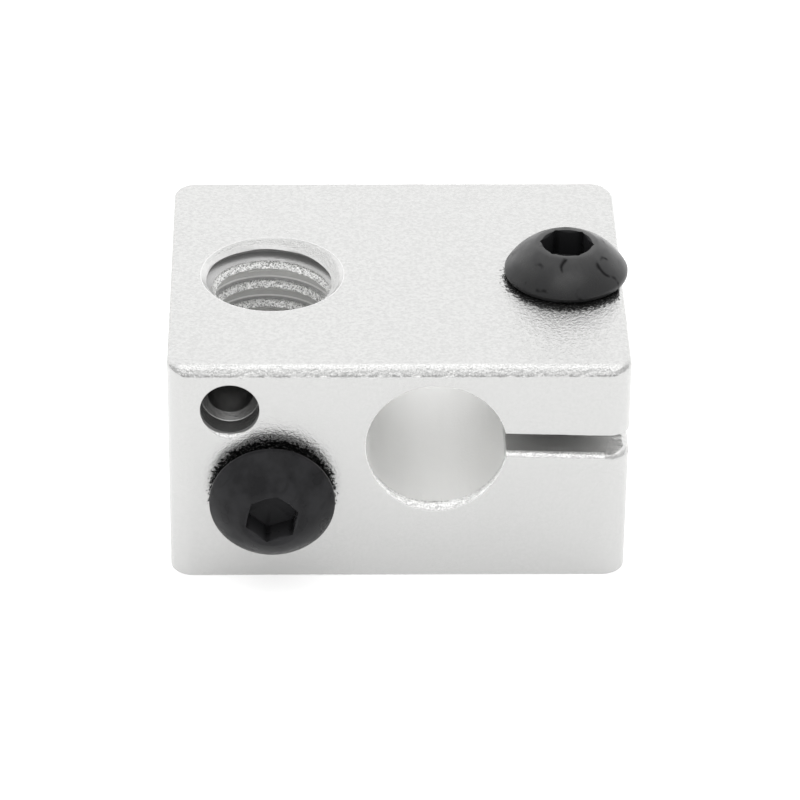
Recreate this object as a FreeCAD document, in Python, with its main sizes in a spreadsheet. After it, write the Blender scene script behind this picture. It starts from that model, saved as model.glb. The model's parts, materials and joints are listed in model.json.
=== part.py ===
import FreeCAD, Part
import os
import re

import Sketcher

# Heater block of a 3-D printer hot end, with its two button-head screws. Millimetres.
# The origin is where the nozzle thread's axis meets the block's underside: +Z runs up that
# thread, +X towards the heater bore and its clamp, and -Y out of the face that the
# thermistor hole and the fixing screw open in.

DRIVING_DIMENSIONS = {
    # block
    "block_width": 20.0,
    "block_depth": 16.0,
    "block_height": 10.7,
    "corner_round": 1.0,
    "top_edge_break": 0.3,
    "bottom_edge_break": 0.1,
    # M6 x 1 thread for nozzle and heat break: axis, minor radius, countersinks
    "throat_from_left": 4.5,
    "throat_radius": 2.5,
    "throat_mouth_radius": 3.15,
    # 6 mm heater bore, along Y
    "bore_x": 7.1,
    "bore_z": 6.8,
    "bore_radius": 3.05,
    "bore_edge_break": 0.1,
    # clamp slit, from the bore out through the +X side, falling a little on its way
    "slit_gap": 1.0,
    "slit_rise": 0.2,
    "slit_fall": 1.6,
    # clamp screw hole: clearance in the upper jaw, M3 thread in the lower one
    "clamp_x": 13.0,
    "clearance_radius": 1.65,
    "thread_radius": 1.5,
    "mouth_break": 0.15,
    # fixing screw hole, blind M3, whose drill point stops short of the M6 thread
    "fixing_z": 4.4,
    "fixing_depth": 4.1,
    "fixing_point": 0.5,
    # thermistor hole, stepped and blind
    "thermistor_x": -1.8,
    "thermistor_z": 8.66,
    "entry_radius": 1.27,
    "entry_depth": 1.15,
    "sensor_radius": 1.0,
    "sensor_depth": 4.2,
    "sensor_point": 0.6,
    # M3 button-head screws
    "shank_radius": 1.45,
    "shank_chamfer": 0.3,
    "head_radius": 2.73,
    "head_height": 1.56,
    "head_rim": 0.28,
    "head_break": 0.12,
    "crown_radius": 1.35,
    "socket_flats": 2.0,
    "socket_depth": 1.25,
    "socket_mouth": 1.1,
    "clamp_screw_length": 10.0,
    "fixing_screw_length": 4.0,
    # the fixing screw is backed off by one turn of its 0.5 mm pitch
    "fixing_screw_gap": 0.5,
    # how far each screw is turned about its own axis, in degrees
    "clamp_screw_turn": 52.5,
    "fixing_screw_turn": 18.5,
}

VERTICAL_AXIS, HORIZONTAL_AXIS = -2, -1
START, END, CENTRE = 1, 2, 3
HEX_CORNERS = 6
TOUCHING = 1e-6


def sized(expression):
    """Puts the sheet's name before each alias; every alias, and nothing else, has an underscore."""
    return re.sub(r"\b[a-z]+(?:_[a-z]+)+\b", r"dims.\g<0>", expression)


def value_of(doc, expression):
    """The number that an expression of the sheet's aliases gives; None is the axis, zero."""
    if expression is None:
        return 0.0
    result = doc.getObject("dims").evalExpression(sized(expression))
    return float(getattr(result, "Value", result))


def make_sheet(doc):
    """The spreadsheet of driving dimensions, one alias a row."""
    sheet = doc.addObject("Spreadsheet::Sheet", "dims")
    for row, (alias, value) in enumerate(DRIVING_DIMENSIONS.items(), start=1):
        sheet.set(f"A{row}", alias)
        sheet.set(f"B{row}", str(value))
        sheet.setAlias(f"B{row}", alias)
    doc.recompute()


def new_body(doc, name):
    body = doc.addObject("PartDesign::Body", name)
    body.Label = name
    return body


def new_sketch(body, name, plane_role, **shifts):
    """A sketch on one of the body's origin planes, shifted in its own x, y and z by expressions."""
    sketch = body.newObject("Sketcher::SketchObject", name)
    plane = next(f for f in body.Origin.OriginFeatures if f.Role == plane_role)
    sketch.AttachmentSupport = [(plane, "")]
    sketch.MapMode = "FlatFace"
    for axis, expression in shifts.items():
        sketch.setExpression(f"AttachmentOffset.Base.{axis}", sized(expression))
    return sketch


def fix_point(sketch, geometry, x, y):
    """Ties a geometry's start to the expressions x and y, or to the axis where one is None."""
    doc = sketch.Document
    for kind, expression, axis in (("DistanceX", x, VERTICAL_AXIS), ("DistanceY", y, HORIZONTAL_AXIS)):
        if expression is None:
            sketch.addConstraint(Sketcher.Constraint("PointOnObject", geometry, START, axis))
            continue
        here = value_of(doc, expression)
        index = sketch.addConstraint(Sketcher.Constraint(kind, geometry, START, here))
        sketch.setExpression(f"Constraints[{index}]", sized(expression))


def arc_about_axis(start, end):
    """The arc from start to end whose centre lies on the sketch's vertical axis."""
    rise = (end.x**2 + end.y**2 - start.x**2 - start.y**2) / (2 * (end.y - start.y))
    centre = FreeCAD.Vector(0, rise, 0)
    outward = (start + end) * 0.5 - centre
    outward.normalize()
    return Part.Arc(start, centre + outward * (start - centre).Length, end)


def draw_outline(sketch, corners, arc_from=None):
    """A closed outline, anticlockwise, through corners given as pairs of expressions.

    The edge that leaves corner number arc_from is an arc centred on the sketch's vertical
    axis, and the others are straight.
    """
    doc = sketch.Document
    points = [FreeCAD.Vector(value_of(doc, x), value_of(doc, y), 0) for x, y in corners]
    for number, start in enumerate(points):
        end = points[(number + 1) % len(points)]
        is_arc = number == arc_from
        sketch.addGeometry(arc_about_axis(start, end) if is_arc else Part.LineSegment(start, end))
    for number, (x, y) in enumerate(corners):
        following = (number + 1) % len(corners)
        sketch.addConstraint(Sketcher.Constraint("Coincident", number, END, following, START))
        fix_point(sketch, number, x, y)
    if arc_from is not None:
        sketch.addConstraint(Sketcher.Constraint("PointOnObject", arc_from, CENTRE, VERTICAL_AXIS))


def check_cut(feature):
    """Stops if a feature that should take material away took none."""
    feature.Document.recompute()
    if feature.Shape.isNull() or feature.Shape.Volume >= feature.BaseFeature.Shape.Volume:
        raise RuntimeError(f"{feature.Label} cuts nothing")


def turned(body, name, kind, sketch):
    """A full Revolution or Groove of a sketch about its own vertical axis."""
    feature = body.newObject(f"PartDesign::{kind}", name)
    feature.Profile = sketch
    feature.ReferenceAxis = (sketch, ["V_Axis"])
    feature.Angle = 360
    return feature


def turned_hole(body, name, plane_role, wall, **shifts):
    """Cuts a hole whose wall is a list of (radius, place along the axis), lowest place first."""
    sketch = new_sketch(body, name + "_profile", plane_role, **shifts)
    lowest, highest = wall[0][1], wall[-1][1]
    draw_outline(sketch, [(None, lowest), *wall, (None, highest)])
    check_cut(turned(body, name, "Groove", sketch))


def edges_where(feature, wanted):
    """The names of a feature's edges that a test picks."""
    edges = enumerate(feature.Shape.Edges, start=1)
    return [f"Edge{number}" for number, edge in edges if wanted(edge)]


def chamfer_at(body, name, height, size):
    """Chamfers every edge of the blank that lies level at a height."""
    base = body.Tip
    level = value_of(body.Document, height)

    def lies_there(edge):
        box = edge.BoundBox
        return max(abs(box.ZMin - level), abs(box.ZMax - level)) < TOUCHING

    chamfer = body.newObject("PartDesign::Chamfer", name)
    chamfer.Base = (base, edges_where(base, lies_there))
    chamfer.setExpression("Size", sized(size))
    check_cut(chamfer)


def make_blank(body):
    """The plain block: upright edges rounded, the edges of its top and underside chamfered."""
    left, right = "-throat_from_left", "block_width - throat_from_left"
    front, back = "-block_depth / 2", "block_depth / 2"
    sketch = new_sketch(body, "plan", "XY_Plane")
    draw_outline(sketch, [(left, front), (right, front), (right, back), (left, back)])
    pad = body.newObject("PartDesign::Pad", "blank")
    pad.Profile = sketch
    pad.setExpression("Length", sized("block_height"))
    body.Document.recompute()

    rounds = body.newObject("PartDesign::Fillet", "upright_rounds")
    rounds.Base = (pad, edges_where(pad, lambda edge: edge.BoundBox.ZLength > edge.Length / 2))
    rounds.setExpression("Radius", sized("corner_round"))
    check_cut(rounds)

    chamfer_at(body, "top_edge", "block_height", "top_edge_break")
    chamfer_at(body, "bottom_edge", "0", "bottom_edge_break")


def cut_throat(body):
    """The M6 through thread, countersunk at 45 degrees at both ends."""
    sink = "(throat_mouth_radius - throat_radius)"
    wall = [
        ("throat_mouth_radius", None),
        ("throat_radius", sink),
        ("throat_radius", f"block_height - {sink}"),
        ("throat_mouth_radius", "block_height"),
    ]
    turned_hole(body, "throat", "XZ_Plane", wall)


def cut_heater_bore(body):
    """The heater's through bore, its two mouths lightly chamfered."""
    mouth = "bore_radius + bore_edge_break"
    wall = [
        (mouth, "-block_depth / 2"),
        ("bore_radius", "bore_edge_break - block_depth / 2"),
        ("bore_radius", "block_depth / 2 - bore_edge_break"),
        (mouth, "block_depth / 2"),
    ]
    turned_hole(body, "heater_bore", "XY_Plane", wall, x="bore_x", z="bore_z")


def cut_slit(body):
    """The saw cut that parts the clamp's two jaws, from inside the bore to past the side."""
    sketch = new_sketch(body, "slit_profile", "XZ_Plane", x="bore_x", y="bore_z + slit_rise")
    sketch.AttachmentOffset = FreeCAD.Placement(
        sketch.AttachmentOffset.Base, FreeCAD.Rotation(FreeCAD.Vector(0, 0, -1), 1)
    )
    sketch.setExpression("AttachmentOffset.Rotation.Angle", sized("slit_fall"))
    inner, outer, half = "bore_radius / 2", "block_width / 2", "slit_gap / 2"
    draw_outline(sketch, [(inner, f"-{half}"), (outer, f"-{half}"), (outer, half), (inner, half)])
    pocket = body.newObject("PartDesign::Pocket", "slit")
    pocket.Profile = sketch
    pocket.Type = "ThroughAll"
    pocket.Midplane = True
    check_cut(pocket)


def cut_clamp_screw_hole(body):
    """M3 thread in the lower jaw, and a wider clearance hole in the jaw above the slit."""
    in_slit = "bore_z"
    wall = [
        ("thread_radius + mouth_break", None),
        ("thread_radius", "mouth_break"),
        ("thread_radius", in_slit),
        ("clearance_radius", in_slit),
        ("clearance_radius", "block_height - mouth_break"),
        ("clearance_radius + mouth_break", "block_height"),
    ]
    turned_hole(body, "clamp_screw_hole", "XZ_Plane", wall, x="clamp_x")


def cut_fixing_screw_hole(body):
    """The blind M3 hole in the front face, aimed at the M6 thread's axis."""
    face = "-block_depth / 2"
    wall = [
        ("thread_radius + mouth_break", face),
        ("thread_radius", f"{face} + mouth_break"),
        ("thread_radius", f"{face} + fixing_depth"),
    ]
    point = f"{face} + fixing_depth + fixing_point"
    blind_hole(body, "fixing_screw_hole", wall, point, z="fixing_z")


def cut_thermistor_hole(body):
    """The thermistor's blind hole: a wide entry, a conical step, and the snug bore behind it."""
    face = "-block_depth / 2"
    wall = [
        ("entry_radius", face),
        ("entry_radius", f"{face} + entry_depth"),
        ("sensor_radius", f"{face} + entry_depth + entry_radius - sensor_radius"),
        ("sensor_radius", f"{face} + sensor_depth"),
    ]
    point = f"{face} + sensor_depth + sensor_point"
    blind_hole(body, "thermistor_hole", wall, point, x="thermistor_x", z="thermistor_z")


def blind_hole(body, name, wall, point, **shifts):
    """Cuts a hole along Y from the front face that ends in a drill point on the axis."""
    sketch = new_sketch(body, name + "_profile", "XY_Plane", **shifts)
    draw_outline(sketch, [(None, wall[0][1]), *wall, (None, point)])
    check_cut(turned(body, name, "Groove", sketch))


def make_heater_block(doc):
    body = new_body(doc, "heater_block")
    make_blank(body)
    cut_throat(body)
    cut_heater_bore(body)
    cut_clamp_screw_hole(body)
    cut_fixing_screw_hole(body)
    cut_thermistor_hole(body)
    cut_slit(body)


def make_screw(doc, name, length, place, axis_turn, turn):
    """A button-head screw: its head sits on its local XY plane and its shank runs down -Z.

    place gives the underside's x, y and z as expressions, axis_turn is the rotation that
    takes local Z to the way the head faces, and turn is the angle about that axis.
    """
    body = new_body(doc, name)
    profile = new_sketch(body, name + "_profile", "XZ_Plane")
    corners = [
        (None, f"-{length}"),
        ("shank_radius - shank_chamfer", f"-{length}"),
        ("shank_radius", f"shank_chamfer - {length}"),
        ("shank_radius", None),
        ("head_radius - head_break", None),
        ("head_radius", "head_break"),
        ("head_radius", "head_rim"),
        ("crown_radius", "head_height"),
        (None, "head_height"),
    ]
    draw_outline(profile, corners, arc_from=corners.index(("head_radius", "head_rim")))
    turned(body, name + "_turned", "Revolution", profile)
    doc.recompute()

    lead_in = "(socket_mouth - socket_flats / 2)"
    wall = [("socket_flats / 2", f"head_height - {lead_in}"), ("socket_mouth", "head_height")]
    turned_hole(body, name + "_socket_mouth", "XZ_Plane", wall)

    corner_radius = "socket_flats / sqrt(3)"
    socket = new_sketch(body, name + "_hexagon", "XY_Plane", z="head_height")
    hexagon = []
    for corner in range(HEX_CORNERS):
        angle = 360 // HEX_CORNERS * corner
        x = f"{corner_radius} * cos({angle} deg)"
        y = f"{corner_radius} * sin({angle} deg)" if angle % 180 else None
        hexagon.append((x, y))
    draw_outline(socket, hexagon)
    pocket = body.newObject("PartDesign::Pocket", name + "_socket")
    pocket.Profile = socket
    pocket.setExpression("Length", sized("socket_depth"))
    check_cut(pocket)

    spin = FreeCAD.Rotation(FreeCAD.Vector(0, 0, 1), value_of(doc, turn))
    body.Placement = FreeCAD.Placement(FreeCAD.Vector(0, 0, 0), axis_turn * spin)
    for axis, expression in zip("xyz", place):
        body.setExpression(f"Placement.Base.{axis}", sized(expression))


def check_document(doc):
    """Stops if any object failed, or any sub-part is not one valid solid."""
    doc.recompute()
    failed = [o.Label for o in doc.Objects if {"Invalid", "Error"} & set(o.State)]
    if failed:
        raise RuntimeError(f"failed objects: {failed}")
    for body in bodies(doc):
        shape = body.Shape
        if shape.isNull() or not shape.isValid() or len(shape.Solids) != 1:
            raise RuntimeError(f"{body.Label} is not one valid solid")


def bodies(doc):
    return [o for o in doc.Objects if o.TypeId == "PartDesign::Body"]


def main():
    doc = FreeCAD.newDocument("heater_block_with_screws")
    make_sheet(doc)
    make_heater_block(doc)
    upright = FreeCAD.Rotation()
    out_of_front = FreeCAD.Rotation(FreeCAD.Vector(1, 0, 0), 90)
    on_top = ("clamp_x", "0", "block_height")
    on_front = ("0", "-block_depth / 2 - fixing_screw_gap", "fixing_z")
    make_screw(doc, "clamp_screw", "clamp_screw_length", on_top, upright, "clamp_screw_turn")
    make_screw(
        doc, "thermistor_screw", "fixing_screw_length", on_front, out_of_front, "fixing_screw_turn"
    )
    check_document(doc)
    os.makedirs("parts", exist_ok=True)
    for body in bodies(doc):
        body.Shape.exportStep(f"parts/{body.Label}.step")
        box = body.Shape.BoundBox
        low, high = (box.XMin, box.YMin, box.ZMin), (box.XMax, box.YMax, box.ZMax)
        spans = ", ".join(f"{a:.2f} to {b:.2f}" for a, b in zip(low, high))
        print(f"{body.Label}: {body.Shape.Volume:.1f} mm3, {spans}")


main()
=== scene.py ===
import json
import math

import bmesh
import bpy
import numpy as np
from mathutils import Matrix, Vector

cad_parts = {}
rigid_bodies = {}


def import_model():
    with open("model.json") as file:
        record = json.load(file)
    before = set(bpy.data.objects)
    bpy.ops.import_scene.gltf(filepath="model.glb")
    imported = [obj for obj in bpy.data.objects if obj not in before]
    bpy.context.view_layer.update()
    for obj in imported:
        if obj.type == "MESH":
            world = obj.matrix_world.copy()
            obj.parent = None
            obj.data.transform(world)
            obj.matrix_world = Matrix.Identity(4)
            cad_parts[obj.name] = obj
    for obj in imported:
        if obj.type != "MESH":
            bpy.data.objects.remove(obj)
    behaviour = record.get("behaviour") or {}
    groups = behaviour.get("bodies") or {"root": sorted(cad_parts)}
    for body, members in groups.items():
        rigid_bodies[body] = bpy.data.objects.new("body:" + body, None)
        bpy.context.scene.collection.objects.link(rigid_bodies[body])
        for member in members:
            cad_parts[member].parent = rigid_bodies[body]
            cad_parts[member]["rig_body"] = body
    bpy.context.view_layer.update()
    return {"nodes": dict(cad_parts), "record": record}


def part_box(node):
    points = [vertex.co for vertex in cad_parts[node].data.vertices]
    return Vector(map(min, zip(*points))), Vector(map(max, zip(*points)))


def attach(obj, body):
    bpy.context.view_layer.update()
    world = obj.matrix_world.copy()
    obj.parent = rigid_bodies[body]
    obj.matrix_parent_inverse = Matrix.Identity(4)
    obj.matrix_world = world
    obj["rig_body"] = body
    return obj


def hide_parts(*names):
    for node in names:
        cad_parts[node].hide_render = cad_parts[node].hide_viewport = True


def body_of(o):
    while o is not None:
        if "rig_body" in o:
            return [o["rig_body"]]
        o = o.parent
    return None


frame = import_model()

# The frame is in metres. Shapes are worked out in millimetres, and scaled when a piece is made.
MM = 0.001
WELD = 1e-5
# How far a cutting solid reaches past the face that it opens in.
REACH = 0.3
MOUNTS = {mount["name"]: mount for mount in frame["record"]["mounts"]}


def box_mm(node):
    """The low and high corners of a CAD node's box."""
    low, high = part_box(node)
    return np.array(low) / MM, np.array(high) / MM


def mount_mm(name):
    """A round mount's place and wall radius."""
    mount = MOUNTS[name]
    return np.array(mount["pos_m"]) / MM, mount["dims"]["r_mm"]


BLOCK_LOW, BLOCK_HIGH = box_mm("heater_block")
FRONT, BACK = BLOCK_LOW[1], BLOCK_HIGH[1]
TOP = BLOCK_HIGH[2]


# Noise: smooth values from -1 to 1 on a hashed lattice, the same at every run.


# Large odd numbers, which scatter neighbouring cells and seeds far apart.
CELL_FACTORS = np.array([374761393, 668265263, 1442695041])
SEED_FACTOR = 974634777
MIX_FACTOR = 1274126177


def lattice_value(cell, seed):
    """A value from -1 to 1 for each cell of the lattice, mixed from the cell's numbers."""
    mixed = cell @ CELL_FACTORS + seed * SEED_FACTOR
    mixed = (mixed ^ (mixed >> 13)) * MIX_FACTOR
    mixed = mixed ^ (mixed >> 16)
    return (mixed & 0xFFFF) / 0x7FFF - 1.0


def lumps(points, size, seed=0):
    """Smooth noise at each of an array of points, in lumps of the given size."""
    scaled = np.asarray(points) / size
    cell = np.floor(scaled).astype(np.int64)
    part = scaled - cell
    part = part * part * (3 - 2 * part)
    total = 0.0
    for corner in np.ndindex(2, 2, 2):
        weight = np.prod(np.where(corner, part, 1 - part), axis=-1)
        total = total + weight * lattice_value(cell + np.array(corner), seed)
    return total


TORN_LUMPS = (0.13, 0.07)


def torn(points, seed=0):
    """Noise of torn metal: small lumps on larger ones."""
    large, small = TORN_LUMPS
    return 0.5 * lumps(points, large, seed) + 0.5 * lumps(points, small, seed + 1)


# Round surfaces: a grid of radii and heights round Z, one row after another up the axis.


def angles(columns, turn=0.0):
    """The columns' angles; the last closes the circle on the first."""
    return turn + np.linspace(0, 2 * math.pi, columns + 1)


def plain_row(radius, height, columns):
    """A row that is the same all round."""
    ones = np.ones(columns + 1)
    return radius * ones, height * ones


def thread_form(inner, outer, pitch, outer_flat, steps):
    """One turn of a 60 degree thread as (share of the pitch, radius), its inner flat centred on 0."""
    flank = (outer - inner) * math.tan(math.radians(30)) / pitch
    half_inner = (1 - outer_flat - 2 * flank) / 2
    corners = [
        (-half_inner, inner),
        (half_inner, inner),
        (half_inner + flank, outer),
        (1 - half_inner - flank, outer),
        (1 - half_inner, inner),
    ]
    form = []
    for (share, radius), (next_share, next_radius) in zip(corners, corners[1:]):
        for part in np.arange(steps) / steps:
            form.append((share + (next_share - share) * part, radius + (next_radius - radius) * part))
    return form


def thread_rows(form, pitch, phase, low, high, around, limit):
    """Rows of a right-hand thread between two heights.

    Each row is a helix that climbs one pitch, so crests and roots stay sharp, and what leaves
    the span is pressed flat onto its end. limit(radius, angle, height) gives the final radius,
    as where a mouth cuts the thread, and is one value all round at both ends.
    """
    climb = pitch * around / (2 * math.pi)
    first = math.floor((low - phase - climb[-1]) / pitch) - 1
    last = math.ceil((high - phase - climb[0]) / pitch) + 1
    rows = []
    for turn in range(first, last):
        for share, radius in form:
            height = np.clip(phase + (turn + share) * pitch + climb, low, high)
            rows.append((limit(radius, around, height), height))
    return rows


def grid_object(name, points, matrix, caps=False):
    """A mesh object from rows of points whose last column repeats the first, welded shut."""
    rows, columns = points.shape[:2]
    index = np.arange(rows * columns).reshape(rows, columns)
    quads = np.stack([index[:-1, :-1], index[:-1, 1:], index[1:, 1:], index[1:, :-1]], axis=-1)
    faces = quads.reshape(-1, 4).tolist()
    if caps:
        faces += [index[0, :-1][::-1].tolist(), index[-1, :-1].tolist()]
    mesh = bpy.data.meshes.new(name)
    mesh.from_pydata(points.reshape(-1, 3).tolist(), [], faces)
    work = bmesh.new()
    work.from_mesh(mesh)
    bmesh.ops.remove_doubles(work, verts=work.verts, dist=WELD)
    bmesh.ops.dissolve_degenerate(work, edges=work.edges, dist=WELD)
    bmesh.ops.recalc_face_normals(work, faces=work.faces)
    work.to_mesh(mesh)
    work.free()
    mesh.transform(matrix)
    thing = bpy.data.objects.new(name, mesh)
    bpy.context.scene.collection.objects.link(thing)
    return thing


def turned_object(name, rows, around, matrix):
    """A closed object from rows of radii and heights, its two ends drawn in to the axis."""
    radii = np.array([radius for radius, _ in rows])
    heights = np.array([height for _, height in rows])
    points = np.stack([radii * np.cos(around), radii * np.sin(around), heights], axis=-1)
    return grid_object(name, points, matrix)


def out_of_front(x, z):
    """Takes a local Z axis to the one that leaves the front face at x and z."""
    return Matrix.Translation((x, FRONT, z)) @ Matrix.Rotation(math.pi / 2, 4, "X")


# The block's blank: a rounded plan whose top edge is worn round, most of all at the front.

CORNER_ROUND = 1.0
OUTLINE_STEP = 0.045
TOP_ROUND = {"front": 0.36, "right": 0.3, "back": 0.12, "left": 0.15}
BOTTOM_ROUND = 0.08
ROUND_ROWS = 15
# The top's round swells and shrinks by this share, over this length.
ROUND_SWELL = 0.12
ROUND_SWELL_SIZE = 1.1
# How deep the tears bite: along the top's edge, more of it in front, and along the bottom's.
TOP_BITE = 0.01
FRONT_BITE = 0.045
BOTTOM_BITE = 0.008
# The bite is half a sine wave over the round, cut off near both ends.
BITE_SPREAD = (0.06, 0.94)
# How far before the round a row keeps the upright side flat.
EDGE_SUPPORT = 0.06
# Rows just below and above the slit, which keep its torn lip from shading the flat side.
BESIDE_SLIT = [5.9, 7.6]


def outline():
    """Points round the block's plan, anticlockwise, and their outward normals."""
    centre = (BLOCK_LOW + BLOCK_HIGH)[:2] / 2
    half = (BLOCK_HIGH - BLOCK_LOW)[:2] / 2 - CORNER_ROUND
    points, normals = [], []
    for side, signs in enumerate([(1, 1), (-1, 1), (-1, -1), (1, -1)]):
        corner = centre + half * signs
        start, end = side * math.pi / 2, (side + 1) * math.pi / 2
        arc = np.linspace(start, end, round(CORNER_ROUND * (end - start) / OUTLINE_STEP), endpoint=False)
        normal = np.stack([np.cos(arc), np.sin(arc)], axis=-1)
        points.append(corner + normal * CORNER_ROUND)
        normals.append(normal)
        out = np.array([math.cos(end), math.sin(end)])
        ahead = np.array([-math.sin(end), math.cos(end)])
        length = 2 * half[side % 2]
        along = np.linspace(0, length, round(length / OUTLINE_STEP), endpoint=False)[:, None]
        points.append(corner + out * CORNER_ROUND + along * ahead)
        normals.append(np.repeat(out[None], len(along), axis=0))
    points, normals = np.concatenate(points), np.concatenate(normals)
    return np.vstack([points, points[:1]]), np.vstack([normals, normals[:1]])


def facing(normals, x, y):
    """How much each plan normal faces one way: 1 straight at it, 0 at a right angle."""
    return np.clip(normals @ np.array([x, y]), 0, 1) ** 2


def edge_rows(points, normals, size, rough, level, inward):
    """Rows of an edge's round, from the upright side to the flat face at height level."""
    support = np.column_stack([points, level + inward * (size + EDGE_SUPPORT)])
    rows = [support]
    for turn in np.linspace(0, math.pi / 2, ROUND_ROWS):
        inset = size * (1 - math.cos(turn))
        drop = size * (1 - math.sin(turn))
        spots = np.column_stack([points - normals * inset[:, None], level + inward * drop])
        wave = math.sin(math.pi * np.interp(turn, [0, math.pi / 2], BITE_SPREAD))
        bite = rough * (1 + torn(spots, seed=3)) * wave
        inset = inset + bite * math.cos(turn)
        drop = drop + bite * math.sin(turn)
        rows.append(np.column_stack([points - normals * inset[:, None], level + inward * drop]))
    return rows


def make_blank():
    """The block before its holes are cut, closed by a flat face above and below."""
    points, normals = outline()
    front = facing(normals, 0, -1)
    size = (
        TOP_ROUND["front"] * front
        + TOP_ROUND["right"] * facing(normals, 1, 0)
        + TOP_ROUND["back"] * facing(normals, 0, 1)
        + TOP_ROUND["left"] * facing(normals, -1, 0)
    )
    plan = np.column_stack([points, 0 * points[:, :1]])
    size = size * (1 + ROUND_SWELL * lumps(plan, ROUND_SWELL_SIZE, seed=5))
    top = edge_rows(points, normals, size, TOP_BITE + FRONT_BITE * front, TOP, -1)
    ones = np.ones(len(points))
    bottom = edge_rows(points, normals, BOTTOM_ROUND * ones, BOTTOM_BITE * ones, 0.0, 1)
    beside_slit = [np.column_stack([points, level * ones]) for level in BESIDE_SLIT]
    rows = np.array(bottom[::-1] + beside_slit + top)
    return grid_object("heater_block_visual", rows, Matrix(), caps=True)


# The solids that cut the block's holes.


LIP_ROWS = 9
# A lip's tears are half a sine wave over its round: where it starts, and how much of it there is.
LIP_WAVE_START = 0.15
LIP_WAVE_SHARE = 0.7
# Stands in for a lip of no size, so that nothing is divided by 0.
NO_SIZE = 1e-6


def lip_rows(size, face=0.0, way=1.0):
    """Steps down a rounded lip as pairs of how much it widens the hole and how deep it lies."""
    steps = [(size + REACH / 3, -REACH), (size, 0 * size)]
    for turn in np.linspace(0, math.pi / 2, LIP_ROWS)[1:]:
        steps.append((size * (1 - math.sin(turn)), size * (1 - math.cos(turn))))
    return [(widening, face + way * depth) for widening, depth in steps]


def rough_wall(around, height, radius):
    """Points on a round wall, for noise to be read at."""
    return np.stack([radius * np.cos(around), radius * np.sin(around), height], axis=-1)


def torn_lip(around, radius, size, rough, seed, face=0.0, way=1.0):
    """Rows of a mouth whose rounded lip is torn, from outside the face to the hole's wall."""
    rows = []
    for widening, height in lip_rows(size, face, way):
        height = height + 0 * around
        share = np.clip(widening / np.maximum(size, NO_SIZE), 0, 1)
        wave = np.sin(math.pi * (LIP_WAVE_START + LIP_WAVE_SHARE * share))
        nick = rough * size * torn(rough_wall(around, height, radius), seed) * wave
        rows.append((radius + widening + nick, height))
    return rows


BORE_COLUMNS = 420
BORE_LIP = 0.04
# How much more the lip is worn at the very bottom, and how fast that ends to either side.
BORE_WEAR = 0.36
BORE_WEAR_POWER = 2.5
BORE_LIP_BEHIND = 0.12
BORE_TEAR = 0.14
BORE_TEAR_BEHIND = 0.1
BORE_WALL_ROWS = 8


def cut_heater_bore():
    """The bore along Y. The lower lip of its front mouth is worn round and torn."""
    place, radius = mount_mm("heater_bore")
    around = angles(BORE_COLUMNS)
    below = np.clip(-np.sin(around), 0, 1)
    length = BACK - FRONT
    lip = BORE_LIP + BORE_WEAR * below**BORE_WEAR_POWER
    front = torn_lip(around, radius, lip, BORE_TEAR, seed=11, way=-1.0)
    lip = BORE_LIP_BEHIND + 0 * around
    back = torn_lip(around, radius, lip, BORE_TEAR_BEHIND, seed=13, face=-length)
    rows = [plain_row(0, REACH, BORE_COLUMNS)] + front
    for depth in np.linspace(1, length - 1, BORE_WALL_ROWS):
        rows.append(plain_row(radius, -depth, BORE_COLUMNS))
    rows += back[::-1] + [plain_row(0, -length - REACH, BORE_COLUMNS)]
    return turned_object("bore_cut", rows, around, out_of_front(place[0], place[2]))


SLIT_GAP = 1.0
SLIT_RISE = 0.2
SLIT_FALL = math.radians(1.6)
SLIT_STEP = 0.06
SLIT_LOWER_LIP = 0.24
SLIT_UPPER_LIP = 0.06
SLIT_LOWER_TEAR = 0.035
SLIT_UPPER_TEAR = 0.01
# How fast the tears end inwards from the lip.
TEAR_FADE = 0.15
SAW_MARK = 0.012
SAW_MARK_SIZE = 0.12
# Saw marks are lumps drawn out along X.
SAW_STRETCH = (0.2, 1, 1)
# Where the even steps begin and end, in from the faces. The finer steps of a lip lie outside them.
SLIT_INNER_START = 0.5
SLIT_INNER_END = 0.45
LIP_STEPS = np.array([-REACH, -0.001, 0.003, 0.012, 0.028, 0.05, 0.08, 0.12, 0.17, 0.23, 0.3, 0.4])


def inside_plan(x, y):
    """Distance inwards from the block's rounded outline, negative outside it."""
    centre = (BLOCK_LOW + BLOCK_HIGH)[:2] / 2
    half = (BLOCK_HIGH - BLOCK_LOW)[:2] / 2 - CORNER_ROUND
    past_x, past_y = np.abs(x - centre[0]) - half[0], np.abs(y - centre[1]) - half[1]
    outside = np.hypot(np.maximum(past_x, 0), np.maximum(past_y, 0))
    return CORNER_ROUND - outside - np.minimum(np.maximum(past_x, past_y), 0)


def rounded(size, depth):
    """How much a rounded lip widens a gap at a depth below the face."""
    past = np.clip(size - depth, 0, size)
    return size - np.sqrt(size**2 - past**2)


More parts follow.
